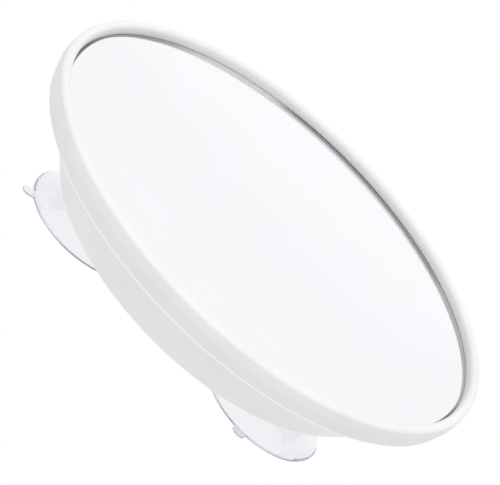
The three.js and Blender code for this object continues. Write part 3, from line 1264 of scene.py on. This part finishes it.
@dataclass
class BackShell:
    """The round white case behind the glass, with its cup sockets and screw wells."""

    stack: Stack
    lathe: Lathe
    colours: tuple[Colour, Colour] = (srgb(224, 225, 222), srgb(221, 221, 218))
    flat_rings: tuple[float, ...] = (0.0, 0.4, 0.8, 0.97, 0.995)
    seat_radius: float = 70.2
    flange_offset: float = 2.3
    flange_edge: float = 1.2
    rim_round: float = 0.15
    socket_radius: float = 4.3
    ring_radius: float = 8.6
    ring_height: float = 2.2
    ring_wall: float = 1.4
    well_radius: float = 3.1
    well_depth: float = 2.6
    screw_hole_radius: float = 1.6
    pillar_radius: float = 4.8
    pillar_height: float = 3.4
    mouth_round: float = 0.35
    root: float = 0.6
    spare: float = 1.0
    post_steps: int = 64
    mouth_steps: int = 96

    @property
    def floor_depth(self) -> float:
        """Depth of the shell's inner floor."""
        return self.stack.back_depth - self.stack.shell_wall

    def section(self) -> list[Point]:
        """The shell's section, by radius and depth.

        Returns:
            The outline, from the middle of the back, round the rim, to the middle of the floor.
        """
        stack = self.stack
        shoulder = stack.behind_mirror(self.flange_offset, stack.flange_radius) + self.flange_edge
        corner_depth = stack.back_depth - stack.corner_radius
        run = Vector((stack.waist_radius - stack.flat_radius, corner_depth - stack.bezel_depth))
        lean = math.atan2(run.x, run.y) - math.asin(stack.corner_radius / run.length)
        outer = stack.waist_radius - (shoulder - stack.bezel_depth) * math.tan(lean)
        inner = outer - stack.shell_wall / math.cos(lean)
        centre = (stack.flat_radius, corner_depth)
        start = math.degrees(lean)
        inner_corner = stack.corner_radius - stack.shell_wall
        flat = [(stack.flat_radius * share, stack.back_depth) for share in self.flat_rings]
        floor = [(radius, self.floor_depth) for radius, _ in flat]
        flange, seat = (
            (radius, stack.behind_mirror(self.flange_offset, radius), self.rim_round)
            for radius in (stack.flange_radius, self.seat_radius)
        )
        flange_edge = (stack.flange_radius, shoulder, self.rim_round)
        rim = rounded([(outer, shoulder), flange_edge, flange, seat, (inner, shoulder)])
        return (
            flat
            + arc(centre, stack.corner_radius, stack.corner_radius, 90, start, steps=20)
            + rim
            + arc(centre, inner_corner, inner_corner, start, 90, steps=10)
            + floor[::-1]
        )

    def _post(self, radius: float, start: float, end: float, finish: bpy.types.Material) -> bpy.types.Object:
        """A round post along the axis.

        Args:
            radius: Its radius.
            start: The depth of one end.
            end: The depth of the other end.
            finish: Its material.

        Returns:
            The post.
        """
        outline = self.stack.placed([(0.0, start), (radius, start), (radius, end), (0.0, end)])
        return self.lathe.turn("post", outline, Ending.ON_AXIS, finish, self.post_steps)

    def _mouth(self, radius: float, floor: float, finish: bpy.types.Material) -> bpy.types.Object:
        """A cutter for a round hole that opens in the back face with a rounded lip.

        Args:
            radius: The hole's radius.
            floor: The depth of its bottom.
            finish: The material that the cut surface gets.

        Returns:
            The cutter.
        """
        back, round_off = self.stack.back_depth, self.mouth_round
        lip = arc((radius + round_off, back - round_off), round_off, round_off, 180, 90, steps=6)
        top = [(radius + round_off, back + self.spare), (0.0, back + self.spare)]
        outline = self.stack.placed([(0.0, floor), (radius, floor), *lip, *top])
        return self.lathe.turn("mouth", outline, Ending.ON_AXIS, finish, self.mouth_steps)

    def _cut_holes(self, shell: bpy.types.Object, at_screw: Vector, at_cup: Vector) -> None:
        """Makes the pillar and well of one screw and the ring and socket of one cup.

        Args:
            shell: The shell.
            at_screw: The place of the screw's axis.
            at_cup: The place of the cup's axis.
        """
        finish = shell.data.materials[0]
        back, floor = self.stack.back_depth, self.floor_depth
        pillar, ring = floor - self.pillar_height, floor - self.ring_height
        room = self.ring_radius - self.ring_wall
        steps = (
            (self._post(self.pillar_radius, pillar, floor + self.root, finish), at_screw, Cut.ADD),
            (self._mouth(self.well_radius, back - self.well_depth, finish), at_screw, Cut.TAKE_AWAY),
            (self._post(self.screw_hole_radius, pillar - self.spare, back, finish), at_screw, Cut.TAKE_AWAY),
            (self._post(self.ring_radius, ring, floor + self.root, finish), at_cup, Cut.ADD),
            (self._post(room, ring - self.spare, floor, finish), at_cup, Cut.TAKE_AWAY),
            (self._mouth(self.socket_radius, ring - self.spare, finish), at_cup, Cut.TAKE_AWAY),
        )
        for tool, place, cut in steps:
            carve(shell, moved(tool, place), cut)

    def build(self) -> None:
        """Makes the shell and cuts its holes."""
        stack = self.stack
        colour, cloudy = self.colours
        finish = MouldedPlastic(name="shell_plastic", colour=colour, cloudy_colour=cloudy).material()
        outline = stack.placed(self.section())
        shell = self.lathe.turn("shell_case", outline, Ending.ON_AXIS, finish, stack.steps_round)
        for i in range(stack.count):
            at_screw = on_circle(stack.screw_circle, CIRCLE * (i + 0.5) / stack.count)
            at_cup = on_circle(stack.cup_circle, CIRCLE * i / stack.count)
            self._cut_holes(shell, at_screw, at_cup)
        close_up(shell.data)
        hand_over(shell, "head", "white_plastic", "back_shell")


@dataclass
class CarrierScrews:
    """Three zinc-plated cross-head screws in the wells of the back shell."""

    stack: Stack
    lathe: Lathe
    shank_radius: float = 1.3
    head_radius: float = 2.8
    head_height: float = 1.7
    head_crown: float = 0.6
    seat_depth: float = 23.238
    tip_length: float = 1.0
    tip_round: float = 0.2
    neck_round: float = 0.1
    head_rounds: Place = (0.12, 0.3, 0.5)
    slot_width: float = 0.8
    slot_length: float = 3.2
    slot_depth: float = 1.0
    slot_spare: float = 0.4
    slot_mouth: float = 1.1
    slot_floor: Point = (0.62, 0.7)
    steps_round: int = 48

    def _screw(self, finish: bpy.types.Material) -> bpy.types.Object:
        """One screw on the axis, with its cross cut.

        Args:
            finish: Its material.

        Returns:
            The screw.
        """
        seat = self.seat_depth
        top = seat + self.head_height
        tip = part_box("carrier_screw_1")[0].y / MM - self.stack.front
        corners = [
            (0.0, tip),
            (self.shank_radius, tip + self.tip_length, self.tip_round),
            (self.shank_radius, seat, self.neck_round),
            (self.head_radius, seat, self.head_rounds[0]),
            (self.head_radius, top - self.head_crown, self.head_rounds[1]),
            (self.head_radius - self.head_crown, top, self.head_rounds[2]),
            (0.0, top),
        ]
        outline = self.stack.placed(rounded(corners, steps=4))
        screw = self.lathe.turn("screw", outline, Ending.ON_AXIS, finish, self.steps_round)
        for turn in (0, 90):
            carve(screw, self._cutter(top, turn, finish), Cut.TAKE_AWAY)
        close_up(screw.data)
        return screw

    def _cutter(self, top: float, turn: float, finish: bpy.types.Material) -> bpy.types.Object:
        """A tapered blade that cuts one slot of the cross.

        Args:
            top: The depth of the head's top.
            turn: The blade's turn, in degrees.
            finish: The material that the cut surface gets.

        Returns:
            The cutter.
        """
        work = bmesh.new()
        bmesh.ops.create_cube(work, size=1.0)
        for corner in work.verts:
            deep = corner.co.y < 0
            length, width = self.slot_floor if deep else (self.slot_mouth, self.slot_mouth)
            corner.co.x *= self.slot_length * length * MM
            corner.co.z *= self.slot_width * width * MM
            corner.co.y = (self.stack.front + top + (-self.slot_depth if deep else self.slot_spare)) * MM
        return moved(from_bmesh("blade", work, finish), Vector(), turn)

    def build(self) -> None:
        """Makes the three screws as one piece."""
        stack = self.stack
        finish = ZincPlate().material()
        screw = self._screw(finish)
        values = {
            "Count": stack.count,
            "Circle Radius": stack.screw_circle * MM,
            "First Angle": math.pi / stack.count,
            "Finish": finish,
        }
        screws = ScrewRing().run("cross_head_screws", screw.data, values)
        bpy.data.objects.remove(screw)
        smooth(screws.data)
        nodes = [f"carrier_screw_{i + 1}" for i in range(stack.count)]
        hand_over(screws, "head", "zinc_steel", *nodes)


@dataclass
class SuctionCups:
    """Three clear vinyl cups, each moulded with its mushroom head, neck, bell and pull tab."""

    stack: Stack
    lathe: Lathe
    radius: float = 19.8
    height: float = 9.5
    hollow_depth: float = 7.0
    hollow_lead: float = 2.0
    hollow_start: float = 1.2
    lip_width: float = 1.4
    lip_thickness: float = 0.5
    lip_round: float = 0.15
    shoulder_radius: float = 6.6
    shoulder_height: float = 0.9
    neck_radius: float = 4.0
    neck_play: float = 0.4
    head_radius: float = 5.8
    head_height: float = 3.2
    head_band: float = 0.8
    head_top_radius: float = 2.8
    head_rounds: Point = (0.8, 0.6)
    soft_round: float = 0.2
    tab_length: float = 3.4
    tab_width: float = 4.0
    tab_thickness: float = 0.5
    tab_round: float = 0.16
    flare_neck: float = 0.3
    flare_lip: float = 0.36
    flare_rise: float = 0.28
    curve_steps: int = 28
    tab_turns: tuple[float, ...] = (8.0, 58.1, -5.9)
    tab_bends: tuple[float, ...] = (4.0, 8.5, 0.0)
    tab_fills: tuple[float, ...] = (0.1, 0.16, 0.06)
    thin_start: float = 8.0
    thin_blend: float = 3.0
    # Painted shade on the thin sheet: faint on its upper side, stronger below the cup's middle, and on the
    # tab.
    top_shade: float = 0.15
    middle_shade: float = 0.6
    shade_rise: float = 2.0
    tab_shade: float = 0.3
    tab_tone: float = 0.8
    edge_reach: float = 0.05
    edge_slope: float = 0.93
    lean: Point = (-0.5, -0.1)
    steps_round: int = 144

    @property
    def edge_looks(self) -> tuple[Table, ...]:
        """How each cup's painted dark edge line, standing in for refraction, looks all round.

        Returns:
            A table for each cup, with a direction in degrees from straight down, the tone there
            from grey to violet, how plainly the painted line shows, which falls away where the edge faces up
            into the light, and how far in over the lip it shows.
        """
        upper = ((-60.0, 0.2, 0.0, 0.0), (0.0, 0.3, 1.0, 0.0), (60.0, 0.2, 0.0, 0.0))
        right = (
            (-50.0, 0.4, 0.5, 0.0), (-32.0, 0.3, 0.7, 0.0), (-16.0, 0.1, 0.8, 0.0), (8.0, 0.1, 0.8, 0.0),
            (17.0, 0.5, 0.8, 0.0), (26.0, 0.5, 0.8, 0.0), (40.0, 0.75, 1.0, 0.0), (56.0, 1.0, 1.0, 0.3),
            (66.0, 1.0, 0.7, 0.6), (78.0, 0.9, 0.85, 0.7), (88.0, 0.2, 0.9, 0.7), (96.0, 0.2, 0.4, 0.5),
            (106.0, 0.2, 0.0, 0.0),
        )
        left = (
            (-104.0, 0.2, 0.0, 0.0), (-96.0, 0.2, 0.2, 0.5), (-86.0, 0.2, 0.7, 0.7), (-74.0, 0.8, 0.85, 0.7),
            (-64.0, 1.0, 0.7, 0.6), (-50.0, 1.0, 0.9, 0.0), (-40.0, 0.9, 0.7, 0.0), (-30.0, 0.6, 1.0, 0.0),
            (-22.0, 0.5, 0.8, 0.0), (-14.0, 0.5, 0.8, 0.0), (-4.0, 0.35, 0.95, 0.0), (8.0, 0.15, 1.0, 0.0),
            (20.0, 0.05, 0.95, 0.0), (40.0, 0.0, 0.9, 0.0),
        )
        return upper, right, left

    @property
    def lip_plane(self) -> float:
        """Distance of the lip behind the shell's back face."""
        return self.stack.seat_gap + self.height

    def _flare(self, shoulder: float, edge: float) -> list[Point]:
        """The outside of the bell, from its shoulder to the lip.

        Args:
            shoulder: The shoulder's distance behind the back face.
            edge: The lip's front, as far behind the back face.

        Returns:
            The curve's points.
        """
        width = self.radius - self.shoulder_radius
        rise = self.flare_rise * (self.height - self.shoulder_height)
        points = [
            (self.shoulder_radius, shoulder),
            (self.shoulder_radius + self.flare_neck * width, shoulder),
            (self.radius - self.flare_lip * width, edge - rise),
            (self.radius, edge),
        ]
        return bezier(points, self.curve_steps)

    def outline(self) -> list[Point]:
        """The cup's section, by radius and distance behind the shell's back face.

        Returns:
            The outline, from the top of the mushroom head to the middle of the hollow.
        """
        gap, lip = self.stack.seat_gap, self.lip_plane
        lip_inner = self.radius - self.lip_width
        dome = (lip_inner**2 + self.hollow_depth**2) / (2 * self.hollow_depth)
        half = math.degrees(math.asin(lip_inner / dome))
        head_base = -(self.stack.shell_wall + self.neck_play)
        head_top = head_base - self.head_height
        shoulder = gap + self.shoulder_height
        edge = lip - self.lip_thickness
        flare = self._flare(shoulder, edge)
        stem = rounded(
            [
                (0.0, head_top),
                (self.head_top_radius, head_top, self.head_rounds[0]),
                (self.head_radius, head_base - self.head_band, self.head_rounds[1]),
                (self.head_radius, head_base, self.soft_round),
                (self.neck_radius, head_base, self.soft_round),
                (self.neck_radius, gap, self.soft_round),
                (self.shoulder_radius, gap, self.soft_round),
                (self.shoulder_radius, shoulder, self.soft_round),
                flare[2],
            ]
        )[:-1]
        slope = lip_inner / (dome - self.hollow_depth)
        rim = rounded(
            [
                flare[-2],
                (self.radius, edge, self.lip_round),
                (self.radius, lip, self.lip_round),
                (lip_inner, lip, self.soft_round),
                (lip_inner - self.hollow_lead, lip - self.hollow_lead * slope),
            ]
        )[1:-1]
        top = lip - self.hollow_depth
        start = half - 90 - self.hollow_start
        hollow = arc((0.0, top + dome), dome, dome, start, -90, steps=self.curve_steps)
        return stem + flare[2:-1] + rim + hollow[:-1] + [(0.0, top)]

    def _tab(self, finish: bpy.types.Material) -> bpy.types.Object:
        """The pull tab on the lip, pointing straight up, with soft edges.

        Args:
            finish: Its material.

        Returns:
            The tab.
        """
        half = self.tab_width / 2
        root = self.radius - self.lip_width / 2
        end = self.radius + self.tab_length - half
        outline = [(-half, root), (half, root), *arc((0.0, end), half, half, 0, 180, steps=20)]
        low = self.lip_plane - self.tab_thickness
        work = bmesh.new()
        base = work.faces.new([work.verts.new((x * MM, low * MM, z * MM)) for x, z in outline])
        raised = bmesh.ops.extrude_face_region(work, geom=[base])
        tops = [v for v in raised["geom"] if isinstance(v, bmesh.types.BMVert)]
        bmesh.ops.translate(work, verts=tops, vec=(0.0, self.tab_thickness * MM, 0.0))
        rims = [e for e in work.edges if abs(e.verts[0].co.y - e.verts[1].co.y) < WELD]
        bmesh.ops.bevel(
            work, geom=rims, offset=self.tab_round * MM, segments=3, profile=0.5, affect="EDGES"
        )
        tab = from_bmesh("tab", work, finish)
        close_up(tab.data)
        return tab

    def _flex(self, mesh: bpy.types.Mesh, centre: Vector, bend: float) -> None:
        """Bends the pull tab forward and lets the soft bell hang a little to one side of its neck.

        Args:
            mesh: The cup in its place.
            centre: A point on the cup's axis, in millimetres.
            bend: How far the tab is bent, in degrees.
        """
        lip = self.stack.front + self.stack.back_depth + self.lip_plane
        for vertex in mesh.vertices:
            beyond = math.hypot(vertex.co.x / MM - centre.x, vertex.co.z / MM - centre.z) - self.radius
            vertex.co.y -= math.tan(math.radians(bend)) * max(0.0, beyond) * MM
            share = clamped(1 + (vertex.co.y / MM - lip) / (self.height - self.shoulder_height))
            vertex.co += share * Vector((self.lean[0], 0.0, self.lean[1])) * MM

    def _store_sheet(self, mesh: bpy.types.Mesh, centre: Vector) -> None:
        """Stores on each corner where the vinyl is a thin sheet and how much painted shade it carries.

        Args:
            mesh: The cup in its place, before it is flexed.
            centre: A point on the cup's axis, in millimetres.
        """
        thin, shade = (
            mesh.attributes.new(part.value, "FLOAT", "POINT") for part in (VinylPart.THIN, VinylPart.SHADE)
        )
        for vertex, sheet, dim in zip(mesh.vertices, thin.data, shade.data):
            reach = math.hypot(vertex.co.x / MM - centre.x, vertex.co.z / MM - centre.z)
            sheet.value = clamped((reach - self.thin_start) / self.thin_blend)
            # Painted shade grows towards the cup's lower side, as light falls from above.
            below = (centre.z - vertex.co.z / MM) / self.radius
            shown = clamped(self.middle_shade + self.shade_rise * below)
            dim.value = self.top_shade + (1 - self.top_shade) * shown
            if reach > self.radius + self.lip_round:
                dim.value = self.tab_shade

    def _store_edges(self, mesh: bpy.types.Mesh, centre: Vector, looks: Table, fill: float) -> None:
        """Stores on each face how strongly the painted dark edge line shows on lip or tab, and its tone.

        Args:
            mesh: The cup in its place, before it is flexed.
            centre: A point on the cup's axis, in millimetres.
            looks: How the painted edge line looks all round.
            fill: How much of the painted line's colour fills the tab.
        """
        edge, tone = (
            mesh.attributes.new(part.value, "FLOAT", "FACE") for part in (VinylPart.EDGE, VinylPart.TONE)
        )
        for face, cut, painted_tone in zip(mesh.polygons, edge.data, tone.data):
            cut.value, painted_tone.value = 0.0, 1.0
            spot, normal = face.center / MM - centre, face.normal
            reach = math.hypot(spot.x, spot.z)
            hue, plainness, width = read_off(looks, math.degrees(math.atan2(spot.x, -spot.z)))
            outer = reach > self.radius - self.lip_round - self.edge_reach
            side = outer and abs(normal.y) < self.edge_slope
            tab = reach > self.radius + self.lip_round
            if tab and side:
                hue, plainness, _ = read_off(looks, math.degrees(math.atan2(normal.x, -normal.z)))
                painted_tone.value, cut.value = max(hue, self.tab_tone), plainness
            elif tab:
                cut.value = fill
            elif side or (normal.y < 0 and reach > self.radius - width):
                painted_tone.value, cut.value = hue, plainness

    def build(self) -> None:
        """Makes the cups."""
        stack = self.stack
        finish = ClearVinyl().material()
        pattern = self.lathe.turn("cup", self.outline(), Ending.ON_AXIS, finish, self.steps_round)
        carve(pattern, self._tab(finish), Cut.ADD)
        close_up(pattern.data)
        for i in range(stack.count):
            way = CIRCLE * i / stack.count
            place = on_circle(stack.cup_circle, way)
            place.y = stack.front + stack.back_depth
            cup = in_scene(f"vinyl_cup_{i + 1}", pattern.data.copy())
            moved(cup, place, way + self.tab_turns[i])
            self._store_sheet(cup.data, place)
            self._store_edges(cup.data, place, self.edge_looks[i], self.tab_fills[i])
            self._flex(cup.data, place, self.tab_bends[i])
            hand_over(cup, f"cup_{i + 1}", "clear_vinyl", f"suction_cup_{i + 1}")
        bpy.data.objects.remove(pattern)


@dataclass
class InnerParts:
    """The safety film, foam tape and glass carrier, which keep their CAD shapes."""

    film: str = "safety_film"
    carrier: str = "glass_carrier"
    foam: tuple[str, ...] = ("foam_ring", "foam_pad_1", "foam_pad_2", "foam_pad_3")
    carrier_plastic: MouldedPlastic = MouldedPlastic(
        name="carrier_plastic",
        colour=srgb(212, 212, 207),
        cloudy_colour=srgb(205, 205, 199),
        sheen_roughness=0.55,
        grain_depth=0.012,
    )

    def dress(self) -> None:
        """Gives each CAD node its finish."""
        finishes = dict.fromkeys(self.foam, FoamTape().material())
        finishes[self.film] = BackingFilm().material()
        finishes[self.carrier] = self.carrier_plastic.material()
        for name, finish in finishes.items():
            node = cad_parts[name]
            node.data.materials.clear()
            node.data.materials.append(finish)
            log.info("%s keeps its CAD shape, in %s", name, finish.name)


@dataclass(frozen=True)
class Lamp:
    """A soft square lamp that faces the object, in millimetres and watts."""

    name: str
    place: Place
    size: float
    power: float

    def hang(self) -> None:
        """Hangs the lamp where only its light is seen."""
        light = bpy.data.lights.new(self.name, "AREA")
        light.shape = "SQUARE"
        light.size = self.size * MM
        light.energy = self.power
        lamp = in_scene(self.name, light)
        lamp.visible_camera = lamp.visible_glossy = lamp.visible_transmission = False
        place = Vector(self.place)
        turn = place.to_track_quat("Z", "Y").to_matrix().to_4x4()
        lamp.matrix_world = Matrix.Translation(place * MM) @ turn


@dataclass
class Studio:
    """The camera, the soft light and the pale floor."""

    focal_length: float = 122.4
    sensor_width: float = 36.0
    sight: Point = (0.01, 100.0)
    eye: Place = (24.34, -228.82, -431.02)
    right: Place = (0.6938, -0.6324, 0.3446)
    up: Place = (-0.7182, -0.6428, 0.2664)
    lamps: tuple[Lamp, ...] = (
        Lamp("key_lamp", (0.0, -1130.0, -400.0), 700.0, 5.15),
        Lamp("back_lamp", (0.0, 1150.0, -150.0), 700.0, 2.4),
    )
    ambient: float = 0.92
    from_above: float = 0.06
    from_behind: float = 0.05
    mirrored: float = 0.99
    mirrored_rise: float = 0.04
    mirrored_step: Point = (0.45, 0.65)
    floor_height: float = -900.0
    floor_size: float = 12000.0
    floor_colours: tuple[Colour, Colour] = (srgb(230, 230, 230), srgb(234, 234, 234))
    floor_fibres: float = 4.0
    floor_roughness: float = 0.9
    floor_glow: float = 1.12
    glow_share: float = 0.75

    def camera(self) -> None:
        """Sets the camera at the photograph's viewing angle."""
        lens = bpy.data.cameras.new("camera")
        lens.lens = self.focal_length
        lens.sensor_width = self.sensor_width
        lens.clip_start, lens.clip_end = self.sight
        camera = in_scene("camera", lens)
        right = Vector(self.right).normalized()
        back = right.cross(Vector(self.up)).normalized()
        turn = Matrix((right, back.cross(right), back)).transposed().to_4x4()
        camera.matrix_world = Matrix.Translation(Vector(self.eye) * MM) @ turn
        bpy.context.scene.camera = camera

    def world(self) -> None:
        """White all round for the camera and for glass, softer and one-sided as a light."""
        world = bpy.data.worlds.new("white_tent")
        world.use_nodes = True
        sheet = NodeSheet(world.node_tree)
        rays = sheet.node("ShaderNodeLightPath").outputs
        seen, glossy, through = (
            Signal(sheet, rays[name]) for name in ("Is Camera Ray", "Is Glossy Ray", "Is Transmission Ray")
        )
        glossy = glossy.larger(through)
        way = sheet.node("ShaderNodeTexCoord").outputs["Generated"]
        parts = sheet.node("ShaderNodeSeparateXYZ", vector=way).outputs
        behind, above = Signal(sheet, parts["Y"]), Signal(sheet, parts["Z"])
        light = self.ambient + self.from_above * above + self.from_behind * behind.larger(0.0)
        mirrored = self.mirrored + self.mirrored_rise * (-behind).step(*self.mirrored_step)
        strength = light * (1 - seen) * (1 - glossy) + mirrored * glossy * (1 - seen) + seen
        backdrop = sheet.node("ShaderNodeBackground", color=WHITE, strength=strength)
        sheet.node("ShaderNodeOutputWorld", surface=backdrop.outputs[0])
        bpy.context.scene.world = world

    def floor(self) -> None:
        """Lays a wide pale floor that still takes the object's shadow."""
        half, height = self.floor_size / 2 * MM, self.floor_height * MM
        mesh = bpy.data.meshes.new("floor")
        corners = [(-half, -half, height), (half, -half, height), (half, half, height), (-half, half, height)]
        mesh.from_pydata(corners, [], [(0, 1, 2, 3)])
        sheet = Shading("floor_paper")
        fibres = sheet.noise(self.floor_fibres, detail=3.0)
        colour = sheet.between(fibres, *self.floor_colours)
        paper = sheet.surface(base_color=colour, roughness=self.floor_roughness)
        glow = sheet.node("ShaderNodeEmission", color=WHITE, strength=self.floor_glow)
        rays = sheet.node("ShaderNodeLightPath").outputs
        seen = Signal(sheet, rays["Is Camera Ray"]).larger(Signal(sheet, rays["Is Glossy Ray"]))
        mesh.materials.append(sheet.finish(sheet.mixed(self.glow_share * seen, paper, glow)))
        floor = in_scene("floor", mesh)
        floor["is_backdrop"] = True

    def build(self) -> None:
        """Sets up the whole studio."""
        self.camera()
        self.world()
        for lamp in self.lamps:
            lamp.hang()
        self.floor()
        bpy.context.scene.view_settings.view_transform = "Standard"
        log.info("studio ready")


def write_sizes() -> None:
    boxes = {"cad": cad_box, "visual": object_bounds()}
    plain = {name: [list(corner) for corner in box] for name, box in boxes.items()}


def main() -> None:
    """Builds every sub-assembly in order and reports each piece."""
    logging.basicConfig(level=logging.INFO, format="%(name)s: %(message)s")
    stack, lathe = Stack(), Lathe()
    Studio().build()
    for assembly in (FrontBezel, ConcaveMirror, BackShell, CarrierScrews, SuctionCups):
        assembly(stack, lathe).build()
    InnerParts().dress()
    write_sizes()


if __name__ == "__main__":
    main()
